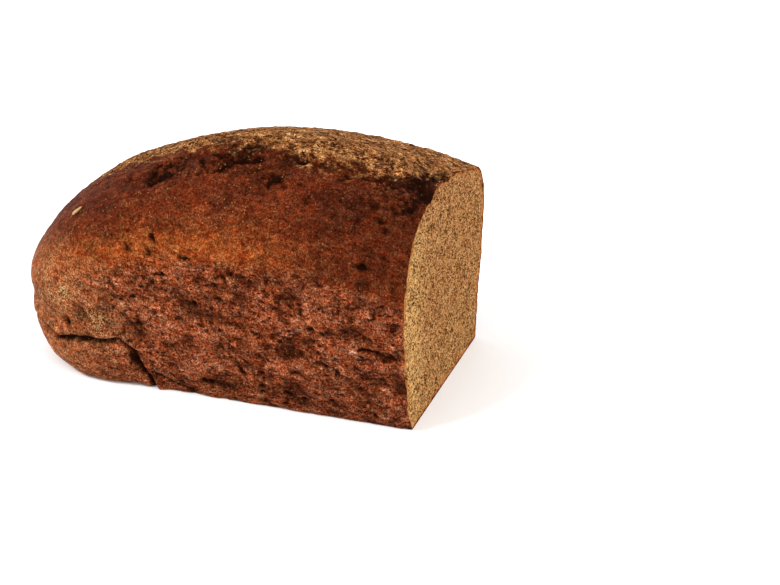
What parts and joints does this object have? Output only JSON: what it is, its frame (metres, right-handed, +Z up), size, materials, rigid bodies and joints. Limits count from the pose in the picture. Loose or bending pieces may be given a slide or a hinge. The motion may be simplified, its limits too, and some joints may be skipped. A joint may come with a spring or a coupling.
{
  "type": "cut rye tin loaf",
  "caption": "Dark rye tin loaf with a domed crown, pitted crust and a flat base, its first slices cut away to show a close brown crumb, resting on its base",
  "frame": {"origin": "under the middle of the loaf's box, on its flat base", "axes": "+X along the loaf towards the cut face, -Y the side with the high shoulder, +Z up"},
  "size_m": [0.1832, 0.1094, 0.1055],
  "materials": {
    "crust": "baked rye crust, dark red-brown, pitted, matte with a faint sheen",
    "crumb": "close open-pored rye crumb, tan-brown, matte",
    "seed": "cream seed hull, satin"
  },
  "bodies": {
    "root": {"loaf": "crust", "crust_seed": "seed"}
  },
  "joints": []
}
